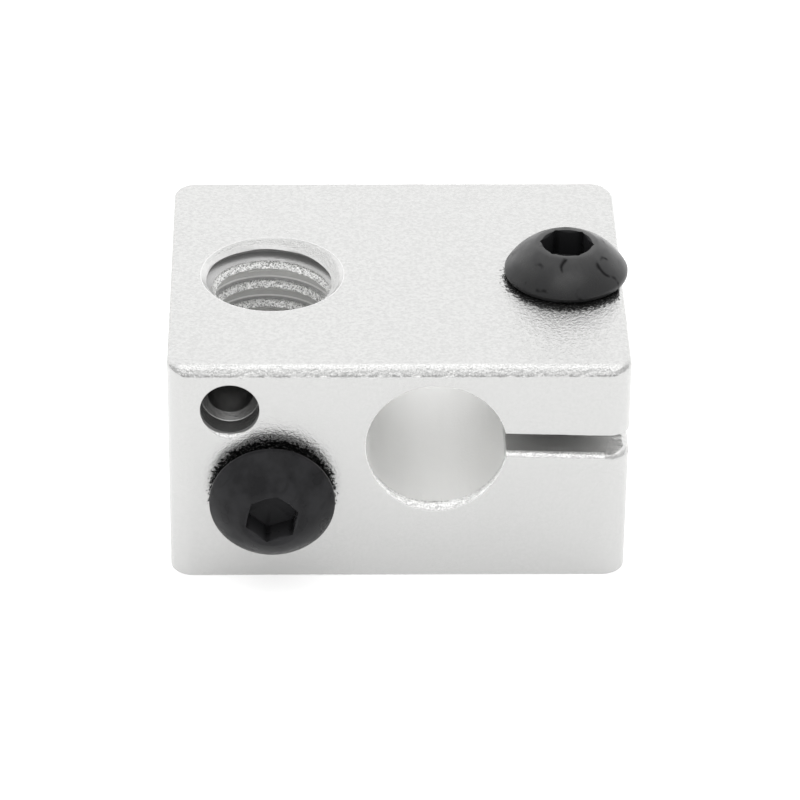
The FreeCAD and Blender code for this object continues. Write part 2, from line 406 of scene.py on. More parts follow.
def cut_slit():
    """The saw cut from inside the bore to the +X side. Its lower lip is torn, its upper one sharp."""
    place, radius = mount_mm("heater_bore")
    end = BLOCK_HIGH[0] - place[0]
    inner = np.arange(radius / 2, end - SLIT_INNER_START, SLIT_STEP)
    x = np.concatenate([inner, end - LIP_STEPS[::-1]])
    inner = np.arange(FRONT + SLIT_INNER_START, BACK - SLIT_INNER_END, SLIT_STEP)
    y = np.concatenate([FRONT + LIP_STEPS, inner, BACK - LIP_STEPS[::-1]])
    across, along = np.meshgrid(x, y, indexing="ij")
    depth = inside_plan(across + place[0], along)
    spots = np.stack([across, along, 0 * across], axis=-1)
    near = np.exp(-np.maximum(depth, 0) / TEAR_FADE)
    saw = SAW_MARK * lumps(spots * SAW_STRETCH, SAW_MARK_SIZE, seed=25)
    lower_tear = near * SLIT_LOWER_TEAR * torn(spots, seed=21)
    upper_tear = near * SLIT_UPPER_TEAR * torn(spots, seed=23)
    lower = -SLIT_GAP / 2 - rounded(SLIT_LOWER_LIP, depth) - lower_tear + saw
    upper = SLIT_GAP / 2 + rounded(SLIT_UPPER_LIP, depth) + upper_tear + saw
    floor_points = np.stack([across, along, lower], axis=-1)
    roof_points = np.stack([across, along, upper], axis=-1)
    ring = np.concatenate([floor_points, roof_points[:, ::-1], floor_points[:, :1]], axis=1)
    middle = Matrix.Translation((place[0], 0, place[2] + SLIT_RISE))
    return grid_object("slit_cut", ring, middle @ Matrix.Rotation(SLIT_FALL, 4, "Y"), caps=True)


M6_PITCH = 1.0
M6_OUTER = 3.06
M6_COLUMNS = 360
M6_PHASE = 0.31
THROAT_MOUTH = 3.16
ROOT_FLAT = 0.125
# A thin ridge that the tap leaves along each flank.
TAP_RIDGE = 0.015
RIDGE_RADIUS = 2.83
RIDGE_WIDTH = 0.05
# Each crest leans outwards by this much, over this stretch of a turn, and is torn this deep.
CREST_LEAN = 0.16
CREST_START = 0.38
CREST_SHARE = 0.24
CREST_TEAR = 0.06
# How far out from the crest the tears reach, and over what distance they end.
CREST_REACH = 0.2
CREST_FADE = 0.1


def cut_throat():
    """The M6 through thread, its crests torn by the tap, countersunk at both ends."""
    _, inner = mount_mm("throat_thread")
    around = angles(M6_COLUMNS)
    form = thread_form(inner, M6_OUTER, M6_PITCH, ROOT_FLAT, steps=7)

    def limit(radius, angle, height):
        depth = np.minimum(height, TOP - height)
        sink = THROAT_MOUTH - np.maximum(depth, -REACH)
        spots = rough_wall(angle, height, inner)
        turns = (height - M6_PHASE) / M6_PITCH - angle / (2 * math.pi)
        share = np.clip((turns + 0.5) % 1 - CREST_START, 0, CREST_SHARE) / CREST_SHARE
        crest = np.clip((inner + CREST_REACH - radius) / CREST_FADE, 0, 1)
        tears = CREST_TEAR * crest * torn(spots, seed=31)
        wall = np.maximum(radius, inner + CREST_LEAN * share) + tears
        wall = wall - TAP_RIDGE * np.clip(1 - abs(radius - RIDGE_RADIUS) / RIDGE_WIDTH, 0, 1)
        return np.maximum(wall, sink)

    low, high = -REACH, TOP + REACH
    rows = [plain_row(0, low, M6_COLUMNS)]
    rows += thread_rows(form, M6_PITCH, M6_PHASE, low, high, around, limit)
    rows.append(plain_row(0, high, M6_COLUMNS))
    return turned_object("throat_cut", rows, around, Matrix())


# The M3 threads: screw and hole have one form, with a running gap between them.

M3_PITCH = 0.5
M3_COLUMNS = 96
M3_SCREW = (1.17, 1.46)
M3_GAP = 0.08
SCREW_MOUTH = 1.65
CLEARANCE = 1.65
CLEARANCE_BEVEL = 0.15
CLAMP_LOW, CLAMP_HIGH = box_mm("clamp_screw")
FIXING_LOW, FIXING_HIGH = box_mm("thermistor_screw")
HEAD_HEIGHT = CLAMP_HIGH[2] - TOP
CLAMP_AXIS = (CLAMP_LOW + CLAMP_HIGH) / 2
FIXING_AXIS = (FIXING_LOW + FIXING_HIGH) / 2
FIXING_GAP = FRONT - FIXING_LOW[1] - HEAD_HEIGHT
FIXING_HOLE_DEPTH = 4.1
FIXING_HOLE_POINT = 0.5
# The thread opens out from the drill point by this much for each millimetre.
POINT_SLOPE = 2


def m3_form(gap):
    """The M3 thread's form, moved outwards by a gap."""
    inner, outer = M3_SCREW
    return thread_form(inner + gap, outer + gap, M3_PITCH, ROOT_FLAT, steps=2)


def cut_clamp_screw_hole():
    """M3 thread up to the slit, then a clearance hole through the upper jaw."""
    place, _ = mount_mm("heater_bore")
    around = angles(M3_COLUMNS)
    slit = place[2] + SLIT_RISE - (CLAMP_AXIS[0] - place[0]) * math.tan(SLIT_FALL)
    jaw = slit - SLIT_GAP / 2

    def limit(radius, angle, height):
        return np.maximum(radius, SCREW_MOUTH - np.minimum(height, jaw - height))

    rows = [plain_row(0, -REACH, M3_COLUMNS)]
    rows += thread_rows(m3_form(M3_GAP), M3_PITCH, TOP, -REACH, jaw + REACH, around, limit)
    for radius, height in [
        (CLEARANCE, slit),
        (CLEARANCE, TOP - CLEARANCE_BEVEL),
        (CLEARANCE + CLEARANCE_BEVEL + REACH, TOP + REACH),
        (0, TOP + REACH),
    ]:
        rows.append(plain_row(radius, height, M3_COLUMNS))
    return turned_object("clamp_hole_cut", rows, around, Matrix.Translation((CLAMP_AXIS[0], 0, 0)))


def cut_fixing_screw_hole():
    """The blind M3 hole in the front face."""
    around = angles(M3_COLUMNS)
    inner = M3_SCREW[0] + M3_GAP

    def limit(radius, angle, height):
        open_end = np.maximum(radius, SCREW_MOUTH + height)
        return np.minimum(open_end, inner + POINT_SLOPE * (height + FIXING_HOLE_DEPTH))

    rows = [plain_row(0, -FIXING_HOLE_DEPTH - FIXING_HOLE_POINT, M3_COLUMNS)]
    form = m3_form(M3_GAP)
    rows += thread_rows(form, M3_PITCH, FIXING_GAP, -FIXING_HOLE_DEPTH, REACH, around, limit)
    rows.append(plain_row(0, REACH, M3_COLUMNS))
    return turned_object("fixing_hole_cut", rows, around, out_of_front(FIXING_AXIS[0], FIXING_AXIS[2]))


ENTRY_RADIUS = 1.27
ENTRY_DEPTH = 1.15
SENSOR_DEPTH = 4.2
SENSOR_POINT = 0.6
SENSOR_COLUMNS = 144
STEP_BEVEL = 0.02
# The entry's lip, how much more it is worn at the very bottom, and its tears.
ENTRY_LIP = 0.03
ENTRY_WEAR = 0.2
ENTRY_WEAR_POWER = 6
ENTRY_TEAR = 0.1


def cut_thermistor_hole():
    """The stepped hole: entry, cone, snug bore and drill point, with a nicked mouth."""
    place, radius = mount_mm("thermistor_hole")
    around = angles(SENSOR_COLUMNS)
    below = np.clip(-np.sin(around), 0, 1)
    cone_end = -ENTRY_DEPTH - ENTRY_RADIUS + radius
    rows = []
    for wall, height in [
        (0, -SENSOR_DEPTH - SENSOR_POINT),
        (radius, -SENSOR_DEPTH),
        (radius, cone_end - STEP_BEVEL),
        (radius + STEP_BEVEL, cone_end),
        (ENTRY_RADIUS - STEP_BEVEL, -ENTRY_DEPTH),
        (ENTRY_RADIUS, -ENTRY_DEPTH + STEP_BEVEL),
    ]:
        rows.append(plain_row(wall, height, SENSOR_COLUMNS))
    lip = ENTRY_LIP + ENTRY_WEAR * below**ENTRY_WEAR_POWER
    rows += torn_lip(around, ENTRY_RADIUS, lip, ENTRY_TEAR, seed=41, way=-1.0)[::-1]
    rows.append(plain_row(0, REACH, SENSOR_COLUMNS))
    return turned_object("thermistor_hole_cut", rows, around, out_of_front(place[0], place[2]))


# Edges sharper than these, in degrees, stay sharp in the shading.
BLOCK_SHARP = 35
SCREW_SHARP = 32


def subtract(blank, cutters):
    """Cuts each solid from the blank, and deletes it."""
    for cutter in cutters:
        cut = blank.modifiers.new(cutter.name, "BOOLEAN")
        cut.object = cutter
        cut.operation = "DIFFERENCE"
        cut.solver = "MANIFOLD"
    evaluated = blank.evaluated_get(bpy.context.evaluated_depsgraph_get())
    mesh = bpy.data.meshes.new_from_object(evaluated)
    blank.modifiers.clear()
    blank.data = mesh
    for cutter in cutters:
        bpy.data.objects.remove(cutter)


def finish_piece(piece, node, material, sharp_angle):
    """Scales a piece to metres, shades it, and puts it in its CAD node's place."""
    piece.data.transform(Matrix.Scale(MM, 4))
    piece.data.materials.clear()
    piece.data.materials.append(material)
    piece.data.shade_smooth()
    piece.data.set_sharp_from_angle(angle=math.radians(sharp_angle))
    weighted = piece.modifiers.new("even_shading", "WEIGHTED_NORMAL")
    weighted.keep_sharp = True
    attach(piece, body_of(frame["nodes"][node])[0])
    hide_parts(node)


def make_heater_block(material):
    """The block with its six holes and cuts."""
    blank = make_blank()
    subtract(
        blank,
        [
            cut_heater_bore(),
            cut_slit(),
            cut_throat(),
            cut_clamp_screw_hole(),
            cut_fixing_screw_hole(),
            cut_thermistor_hole(),
        ],
    )
    finish_piece(blank, "heater_block", material, BLOCK_SHARP)
    return blank


# The button-head screws.

HEAD_RADIUS = (CLAMP_HIGH - CLAMP_LOW)[0] / 2
HEAD_RIM = 0.28
CROWN_RADIUS = 1.35
UNDER_BEVEL = 0.24
# The underside clears its seat by a hair, so that a seated screw does not cut into the face.
UNDER_LIFT = 0.004
SOCKET_APOTHEM = 1.04
SOCKET_MOUTH = 1.12
SOCKET_DEPTH = 1.25
SOCKET_FLOOR_BEVEL = 0.04
SOCKET_FLOOR_DIP = 0.12
# The rim's rows from the underside up, as insets from the head's radius and heights.
RIM_ROWS = [(UNDER_BEVEL, UNDER_LIFT), (0.03, 0.11), (0, 0.15), (0, HEAD_RIM - 0.04)]
# The depths of the socket's rows: close together where its round mouth runs out into the hexagon.
SOCKET_ROWS = [0, 0.02, 0.05, 0.09, 0.14, 0.2, 0.24, 0.6, SOCKET_DEPTH - 0.03]
TIP_CHAMFER = 0.3
NECK = 1.5
DOME_ROWS = 18


def head_rows(around, turn):
    """Rows from the head's underside over the dome and down into the hexagon socket."""
    columns = len(around) - 1
    rows = []
    for inset, height in RIM_ROWS:
        rows.append(plain_row(HEAD_RADIUS - inset, height, columns))
    squares = CROWN_RADIUS**2 + HEAD_HEIGHT**2 - HEAD_RADIUS**2 - HEAD_RIM**2
    rise = squares / (2 * (HEAD_HEIGHT - HEAD_RIM))
    dome = math.hypot(HEAD_RADIUS, HEAD_RIM - rise)
    start = math.atan2(HEAD_RIM - rise, HEAD_RADIUS)
    end = math.atan2(HEAD_HEIGHT - rise, CROWN_RADIUS)
    for part in np.linspace(start, end, DOME_ROWS):
        rows.append(plain_row(dome * math.cos(part), rise + dome * math.sin(part), columns))
    from_flat = np.mod(around - turn, math.pi / 3) - math.pi / 6
    hexagon = SOCKET_APOTHEM / np.cos(from_flat)
    for depth in SOCKET_ROWS:
        rows.append((np.maximum(hexagon, SOCKET_MOUTH - depth), HEAD_HEIGHT - depth + 0 * around))
    floor = HEAD_HEIGHT - SOCKET_DEPTH
    rows.append((hexagon - SOCKET_FLOOR_BEVEL, floor + 0 * around))
    rows.append(plain_row(0, floor - SOCKET_FLOOR_DIP, columns))
    return rows


def make_screw(node, length, turn, place, material):
    """A screw with its underside at local height 0, its shank below and its head above."""
    around = angles(M3_COLUMNS, turn)
    tip = M3_SCREW[1] - TIP_CHAMFER

    def limit(radius, angle, height):
        return np.maximum(np.minimum(radius, tip + height + length), NECK + height)

    rows = [plain_row(0, -length, M3_COLUMNS)]
    rows += thread_rows(m3_form(0), M3_PITCH, 0.0, -length, 0.0, around, limit)
    rows += head_rows(around, turn)
    piece = turned_object(node + "_visual", rows, around, place)
    finish_piece(piece, node, material, SCREW_SHARP)
    return piece


# Materials.


class Nodes:
    """The node tree of a material or world, with short ways to add and join nodes."""

    def __init__(self, owner):
        owner.use_nodes = True
        self.owner = owner
        self.tree = owner.node_tree

    def add(self, kind, inputs=None, **settings):
        """A new node. Each input is a constant or another node's output."""
        node = self.tree.nodes.new("ShaderNode" + kind)
        for key, value in settings.items():
            setattr(node, key, value)
        for key, value in (inputs or {}).items():
            self.fill(node.inputs[key], value)
        return node

    def fill(self, socket, value):
        """Joins another node's output to a socket, or sets its constant."""
        if isinstance(value, bpy.types.NodeSocket):
            self.tree.links.new(value, socket)
        else:
            socket.default_value = value

    def shade(self, **values):
        """Fills the material's shader, with _ for each space in an input's name."""
        for key, value in values.items():
            self.fill(self.tree.nodes["Principled BSDF"].inputs[key.replace("_", " ")], value)


def new_material(name):
    return Nodes(bpy.data.materials.new(name))


def noise(nodes, place, size_mm, detail=2.0, roughness=0.5):
    """Noise whose features are about size_mm across."""
    settings = {"Vector": place, "Scale": 1 / (size_mm * MM), "Detail": detail, "Roughness": roughness}
    return nodes.add("TexNoise", settings).outputs["Fac"]


def ramp(nodes, value, low, high, to_low=0.0, to_high=1.0):
    """A smooth step from to_low to to_high as the value goes from low to high."""
    settings = {"Value": value, "From Min": low, "From Max": high, "To Min": to_low, "To Max": to_high}
    return nodes.add("MapRange", settings, interpolation_type="SMOOTHSTEP").outputs["Result"]


def step(nodes, value, low, high, to_low=0.0, to_high=1.0):
    """The same for a distance, with low and high in millimetres."""
    return ramp(nodes, value, low * MM, high * MM, to_low, to_high)


def span(nodes, value, low, high, soft):
    """1 where a distance lies between low and high millimetres, fading to 0 outside."""
    return both(nodes, step(nodes, value, low - soft, low), step(nodes, value, high + soft, high))


def maths(nodes, operation, first, second=0.0):
    return nodes.add("Math", {0: first, 1: second}, operation=operation).outputs[0]


def blend(nodes, share, first, second):
    """The first value where share is 0, the second where it is 1."""
    return nodes.add("Mix", {0: share, 2: first, 3: second}).outputs[0]


def both(nodes, *masks):
    """The product of masks: 1 only where all of them are."""
    total = masks[0]
    for mask in masks[1:]:
        total = maths(nodes, "MULTIPLY", total, mask)
    return total


def from_axis(nodes, place, centre, scale):
    """Distance from an axis; scale is 0 along it and 1 across it."""
    away = nodes.add("VectorMath", {0: place, 1: centre}, operation="SUBTRACT").outputs[0]
    flat = nodes.add("VectorMath", {0: away, 1: scale}, operation="MULTIPLY").outputs[0]
    return nodes.add("VectorMath", {0: flat}, operation="LENGTH").outputs["Value"]


def grey(nodes, value, tint):
    """A value as a colour, with a slight tint."""
    shares = zip(("Red", "Green", "Blue"), tint)
    parts = {axis: maths(nodes, "MULTIPLY", value, share) for axis, share in shares}
    return nodes.add("CombineColor", parts).outputs["Color"]


# The block's metal. Masks first: each is 1 on its own part of the block and 0 elsewhere.

# The two noises that all the block's grain comes from: size, detail and roughness.
PEBBLES = (0.14, 2.0, 0.55)
CRUMBS = (0.07, 2.0, 0.6)
# How far the crumbs move the edge of a ragged mask: as a share of a turn, and in millimetres.
RAGGED_TURN = 0.2
RAGGED_EDGE_SHADE = 1.2
# A hole's wall is what lies within these distances outside its radius.
WALL = (0.03, 0.01)


class BlockSpots:
    """Places on the block, as inputs to the masks."""

    def __init__(self, nodes):
        self.place = nodes.add("TexCoord").outputs["Object"]
        self.across, self.depth, self.height = nodes.add("SeparateXYZ", {0: self.place}).outputs
        self.throat = from_axis(nodes, self.place, (0, 0, 0), (1, 1, 0))
        self.pebbles = noise(nodes, self.place, *PEBBLES)
        self.crumbs = noise(nodes, self.place, *CRUMBS)
        crumbs_off = maths(nodes, "SUBTRACT", self.crumbs, 0.5)
        self.ragged = maths(nodes, "MULTIPLY", crumbs_off, RAGGED_TURN)


def below_top(nodes, spots, low, high):
    """A step that ends at two depths below the top face."""
    return step(nodes, spots.height, TOP - low, TOP - high)


def behind_front(nodes, spots, far, near):
    """A step that ends at two depths behind the front face."""
    return step(nodes, spots.depth, FRONT + far, FRONT + near)


def between_sides(nodes, spots, margin, soft):
    """1 except within a margin from the left and right sides."""
    return span(nodes, spots.across, BLOCK_LOW[0] + margin, BLOCK_HIGH[0] - margin, soft)


def bore_mask(nodes, spots):
    """The heater bore's wall."""
    centre, radius = mount_mm("heater_bore")
    away = from_axis(nodes, spots.place, tuple(centre * MM), (1, 0, 1))
    return step(nodes, away, radius + WALL[0], radius + WALL[1])


# A share of a turn: how far the crests' mask is shifted, and where it ends to either side.
CREST_SHIFT = 0.46
CREST_EDGE = (0.17, 0.15)
# Depths below the top between which the first turn fades in, where the flanks take a painted shade.
FIRST_TURN = (1.25, 0.85)
# The tap's ridge is not seen in the first turn, and is this wide.
RIDGE_FADE = (0.6, 0.1)
RIDGE_HALF = 0.03
# The countersink's depth, where its mask fades, and how near to the cone it lies.
CONE_DEPTH = (0.62, 0.52)
CONE_HALF = 0.02
THREAD_SOFT = 0.02
# Distances outside the thread's outer radius where its mask ends.
THREAD_WALL = (0.05, 0.03)


def thread_masks(nodes, spots):
    """The thread's torn crests, its flanks, its first turn, the tap's ridge and the countersink."""
    far, near = (M6_OUTER + past for past in THREAD_WALL)
    inside = step(nodes, spots.throat, far, near)
    angle = maths(nodes, "ARCTAN2", spots.depth, spots.across)
    pitches = maths(nodes, "DIVIDE", spots.height, M6_PITCH * MM)
    climb = maths(nodes, "SUBTRACT", pitches, M6_PHASE)
    turns = maths(nodes, "SUBTRACT", climb, maths(nodes, "DIVIDE", angle, 2 * math.pi))
    share = maths(nodes, "FRACT", maths(nodes, "ADD", turns, CREST_SHIFT))
    off_crest = maths(nodes, "ABSOLUTE", maths(nodes, "SUBTRACT", share, 0.5))
    ragged = maths(nodes, "ADD", off_crest, spots.ragged)
    crest = both(nodes, inside, ramp(nodes, ragged, *CREST_EDGE))
    flank = maths(nodes, "SUBTRACT", inside, crest)
    first_turn = below_top(nodes, spots, *FIRST_TURN)
    low, high = RIDGE_RADIUS - RIDGE_HALF, RIDGE_RADIUS + RIDGE_HALF
    on_ridge = span(nodes, spots.throat, low, high, THREAD_SOFT)
    ridge = both(nodes, flank, ramp(nodes, first_turn, *RIDGE_FADE), on_ridge)
    slope = maths(nodes, "SUBTRACT", spots.throat, spots.height)
    middle = THROAT_MOUTH - TOP
    on_cone = span(nodes, slope, middle - CONE_HALF, middle + CONE_HALF, THREAD_SOFT)
    cone = both(nodes, on_cone, below_top(nodes, spots, *CONE_DEPTH))
    return crest, flank, both(nodes, flank, first_turn), ridge, cone


# Distances outside the entry's radius, and depths past the hole's end, where the mask ends.
POCKET_WALL = (0.02, 0.005)
POCKET_END = (0.9, 0.8)
# Depths past the end of the entry.
DEEP_FADE = 0.3
CUFF_DEPTH = (0.02, 0.27)
CUFF_SOFT = 0.02


def pocket_masks(nodes, spots):
    """The thermistor hole, its part behind the entry, and the start of its cone, where painted shade
    darkens the hole.
    """
    centre, _ = mount_mm("thermistor_hole")
    away = from_axis(nodes, spots.place, tuple(centre * MM), (1, 0, 1))
    far, near = (SENSOR_DEPTH + past for past in POCKET_END)
    on_wall = step(nodes, away, ENTRY_RADIUS + POCKET_WALL[0], ENTRY_RADIUS + POCKET_WALL[1])
    pocket = both(nodes, on_wall, behind_front(nodes, spots, far, near))
    deep = both(nodes, pocket, behind_front(nodes, spots, ENTRY_DEPTH, ENTRY_DEPTH + DEEP_FADE))
    start, end = (FRONT + ENTRY_DEPTH + past for past in CUFF_DEPTH)
    cuff = both(nodes, pocket, span(nodes, spots.depth, start, end, CUFF_SOFT))
    return pocket, deep, cuff


# The slit's mask: heights from the slit's middle, and distances from the bore and the faces.
SLIT_HEIGHTS = (-0.85, 0.65)
SLIT_PAST_BORE = 0.03
SLIT_SIDE_MARGIN = 0.6
SLIT_FACE_MARGIN = 0.25
# How softly it ends in height, across and in depth.
SLIT_SOFT = (0.05, 0.3, 0.1)


def slit_mask(nodes, spots):
    """The slit's two flat walls."""
    centre, radius = mount_mm("heater_bore")
    low, high = (centre[2] + SLIT_RISE + height for height in SLIT_HEIGHTS)
    left = centre[0] + radius + SLIT_PAST_BORE
    return both(
        nodes,
        span(nodes, spots.height, low, high, SLIT_SOFT[0]),
        span(nodes, spots.across, left, BLOCK_HIGH[0] - SLIT_SIDE_MARGIN, SLIT_SOFT[1]),
        span(nodes, spots.depth, FRONT + SLIT_FACE_MARGIN, BACK - SLIT_FACE_MARGIN, SLIT_SOFT[2]),
    )


# Depths behind the front face and below the top, heights over the bottom, and the margins at the
# two sides with how softly they end.
MOUTH_BEHIND = (0.03, 0.25)
MOUTH_BOTTOM = (0.5, 0.8)
MOUTH_SIDES = (1.2, 0.3)
EDGE_BEHIND = (0.6, 0.4)
EDGE_BELOW = (0.34, 0.28)
EDGE_SIDES = (0.7, 0.4)
# Where the painted shade under the front edge's burr lies.
EDGE_SHADE_BEHIND = (0.3, 0.2)
EDGE_SHADE_BELOW = (0.34, 0.3)
EDGE_SHADE_SIDES = (0.7, 0.2)
LINE_SOFT = 0.03
# The painted shade below the torn front edge lies in patches of this size, where their noise passes
# these values.
EDGE_SHADE_PATCH = 0.5
EDGE_SHADE_PATCH_EDGE = (0.35, 0.6)


def edge_masks(nodes, spots):
    """The torn lips in the front face, the top's torn front edge, and painted shade of its burr just
    below it.
    """
    mouth = both(
        nodes,
        span(nodes, spots.depth, FRONT + MOUTH_BEHIND[0], FRONT + MOUTH_BEHIND[1], LINE_SOFT),
        step(nodes, spots.height, *MOUTH_BOTTOM),
        between_sides(nodes, spots, *MOUTH_SIDES),
    )
    front_edge = both(
        nodes,
        behind_front(nodes, spots, *EDGE_BEHIND),
        below_top(nodes, spots, *EDGE_BELOW),
        between_sides(nodes, spots, *EDGE_SIDES),
    )
    wander = maths(nodes, "MULTIPLY", spots.ragged, RAGGED_EDGE_SHADE * MM)
    wander = maths(nodes, "ADD", spots.height, wander)
    patches = noise(nodes, spots.place, EDGE_SHADE_PATCH)
    edge_shade = both(
        nodes,
        span(nodes, wander, TOP - EDGE_SHADE_BELOW[0], TOP - EDGE_SHADE_BELOW[1], LINE_SOFT),
        behind_front(nodes, spots, *EDGE_SHADE_BEHIND),
        between_sides(nodes, spots, *EDGE_SHADE_SIDES),
        ramp(nodes, patches, *EDGE_SHADE_PATCH_EDGE),
    )
    return mouth, front_edge, edge_shade


# The rings of painted shade, the heads' shadow and reflection on the metal: their inner radius, how
# ragged they are, and each one's outer radius and softness. The one on top lies a little to the front of
# the screw, and is fainter.
HEAD_SHADE_INNER = 2.15
HEAD_SHADE_RAGGED = 1.0
TOP_HEAD_SHADE = (2.75, 0.16)
TOP_HEAD_SHADE_SHIFT = 0.36
TOP_HEAD_SHADE_SHARE = 0.93
FRONT_HEAD_SHADE = (HEAD_RADIUS - 0.02, 0.05)


def head_shade_ring(nodes, spots, centre, scale, outer, soft):
    """A ragged ring round an axis."""
    away = from_axis(nodes, spots.place, tuple(part * MM for part in centre), scale)
    ragged = maths(nodes, "SUBTRACT", spots.pebbles, 0.5)
    ragged = maths(nodes, "MULTIPLY", ragged, HEAD_SHADE_RAGGED * MM)
    return span(nodes, maths(nodes, "ADD", away, ragged), HEAD_SHADE_INNER, outer, soft)


def head_shade_mask(nodes, spots):
    """Painted shade round the screws' heads, their shadow and reflection: a ring on the top and one on
    the front face.
    """
    centre = (CLAMP_AXIS[0], -TOP_HEAD_SHADE_SHIFT, 0)
    ring = head_shade_ring(nodes, spots, centre, (1, 1, 0), *TOP_HEAD_SHADE)
    on_top = both(nodes, below_top(nodes, spots, *WALL), ring, TOP_HEAD_SHADE_SHARE)
    centre = (FIXING_AXIS[0], 0, FIXING_AXIS[2])
    ring = head_shade_ring(nodes, spots, centre, (1, 0, 1), *FRONT_HEAD_SHADE)
    on_front = both(nodes, behind_front(nodes, spots, *WALL), ring)
    return maths(nodes, "MAXIMUM", on_top, on_front)


TOP_FADE = (0.3, 0.02)
METAL_TINT = (1.0, 1.0, 0.99)
# Greys of the block's parts. One number is an even grey. Four are a ramp: where a noise, or a
# distance in millimetres, starts and ends, and the greys there.
SIDE_GREY = (0.36, 0.64, 0.495, 0.515)
TOP_GREY = (0.36, 0.64, 0.42, 0.47)
# The bore darkens from the front face to 9 mm in: painted shade deeper in the bore.
BORE_SHADED_GREY = (FRONT, FRONT + 9, 0.96, 0.83)
SLIT_GREY = 0.67
MOUTH_GREY = (0.4, 0.58, 0.6, 1.0)
EDGE_GREY = (0.38, 0.6, 0.48, 0.64)
# Painted shade under the front edge's burr.
EDGE_SHADE_GREY = 0.34
# The flanks lighten from the crest out into the root: painted light that evens out the shade in the
# grooves.
FLANK_FILL_LIGHT_GREY = (2.65, 2.95, 0.42, 1.0)
# The first turn's flanks are darker: painted shade under the countersink's edge.
FIRST_TURN_SHADE_GREY = (2.65, 2.95, 0.4, 0.36)
RIDGE_GREY = 1.0
CREST_GREY = (0.4, 0.5, 0.36, 1.0)
CONE_GREY = (0.3, 0.7, 0.62, 0.68)
# Painted shade in the thermistor hole: darker behind the entry, darkest at the start of its cone.
POCKET_SHADE_GREY = 0.42
DEEP_SHADE_GREY = 0.25
CUFF_SHADE_GREY = 0.2
# The painted shadow and reflection round the screw heads: near black, with paler specks.
HEAD_SHADE_GREY = (0.56, 0.66, 0.012, 0.5)
# How metallic each part is, and how rough.
PLAIN_METAL, FLANK_METAL, BORE_METAL = 0.82, 0.5, 0.7
CONE_METAL, CREST_METAL, MOUTH_METAL = 0.2, 0.65, 0.5
SIDE_ROUGH, TOP_ROUGH, MACHINED_ROUGH = 0.27, 0.2, 0.5
# Bump strengths, and the bumps' heights in metres.
SIDE_BUMP, TOP_BUMP, SMOOTH_BUMP = 0.24, 0.4, 0.1
CRUMB_BUMP, TORN_BUMP, CREST_BUMP = 0.1, 0.5, 1.0
PEBBLE_HEIGHT = 0.00006
CRUMB_HEIGHT = 0.00005


def grain(nodes, noise_value, strength, height, **below):
    """A bump from a noise, on top of another bump's normal if one is given."""
    settings = {"Height": noise_value, "Strength": strength, "Distance": height, **below}
    return nodes.add("Bump", settings).outputs["Normal"]


def aluminium():
    """Blasted metal: pebbled on top, finer on the sides, machined in the bore and the thread, with
    painted shade in the holes, below the front edge and round the screws' heads, and painted light in
    the thread's grooves.
    """
    nodes = new_material("blasted_aluminium_finish")
    spots = BlockSpots(nodes)
    top = below_top(nodes, spots, *TOP_FADE)
    bore = bore_mask(nodes, spots)
    slit = slit_mask(nodes, spots)
    crest, flank, first_turn, ridge, cone = thread_masks(nodes, spots)
    pocket, deep, cuff = pocket_masks(nodes, spots)
    mouth, front_edge, edge_shade = edge_masks(nodes, spots)

    side_grey = ramp(nodes, spots.pebbles, *SIDE_GREY)
    tone = blend(nodes, top, side_grey, ramp(nodes, spots.pebbles, *TOP_GREY))
    for mask, part_grey in [
        # Painted shade deeper in the bore.
        (bore, step(nodes, spots.depth, *BORE_SHADED_GREY)),
        (slit, SLIT_GREY),
        (mouth, ramp(nodes, spots.crumbs, *MOUTH_GREY)),
        (front_edge, ramp(nodes, spots.crumbs, *EDGE_GREY)),
        # Painted shade under the torn front edge.
        (edge_shade, EDGE_SHADE_GREY),
        # Painted light in the thread's grooves, and painted shade in its first turn.
        (flank, step(nodes, spots.throat, *FLANK_FILL_LIGHT_GREY)),
        (first_turn, step(nodes, spots.throat, *FIRST_TURN_SHADE_GREY)),
        (ridge, RIDGE_GREY),
        (crest, ramp(nodes, spots.crumbs, *CREST_GREY)),
        (cone, ramp(nodes, spots.pebbles, *CONE_GREY)),
        # Painted shade in the thermistor hole.
        (pocket, POCKET_SHADE_GREY),
        (deep, DEEP_SHADE_GREY),
        (cuff, CUFF_SHADE_GREY),
        # Painted shadow and reflection of the screws' heads.
        (head_shade_mask(nodes, spots), ramp(nodes, spots.crumbs, *HEAD_SHADE_GREY)),
    ]:
        tone = blend(nodes, mask, tone, part_grey)

    metal = blend(nodes, flank, PLAIN_METAL, FLANK_METAL)
    for mask, part_metal in [
        (bore, BORE_METAL),
        (cone, CONE_METAL),
        (ridge, CONE_METAL),
        (crest, CREST_METAL),
        (mouth, MOUTH_METAL),
    ]:
        metal = blend(nodes, mask, metal, part_metal)

    strength = blend(nodes, top, SIDE_BUMP, TOP_BUMP)
    strength = blend(nodes, maths(nodes, "MAXIMUM", bore, flank), strength, SMOOTH_BUMP)
    pebbled = grain(nodes, spots.pebbles, strength, PEBBLE_HEIGHT)
    torn_edge = maths(nodes, "MAXIMUM", mouth, front_edge)
    strength = blend(nodes, torn_edge, CRUMB_BUMP, TORN_BUMP)
    strength = blend(nodes, crest, strength, CREST_BUMP)
    rough = blend(nodes, top, SIDE_ROUGH, TOP_ROUGH)
    nodes.shade(
        Base_Color=grey(nodes, tone, METAL_TINT),
        Metallic=metal,
        Roughness=blend(nodes, maths(nodes, "MAXIMUM", bore, crest), rough, MACHINED_ROUGH),
        Normal=grain(nodes, spots.crumbs, strength, CRUMB_HEIGHT, Normal=pebbled),
    )
    return nodes.owner


# The screws' black.

OXIDE_TINT = (1.0, 1.0, 1.06)
MOTTLE = (0.9, 3.0)
FINE = (0.05, 1.0)
FINE_STRENGTH = 0.2
FINE_HEIGHT = 0.000005
STREAKS = (1.5, 0.4)
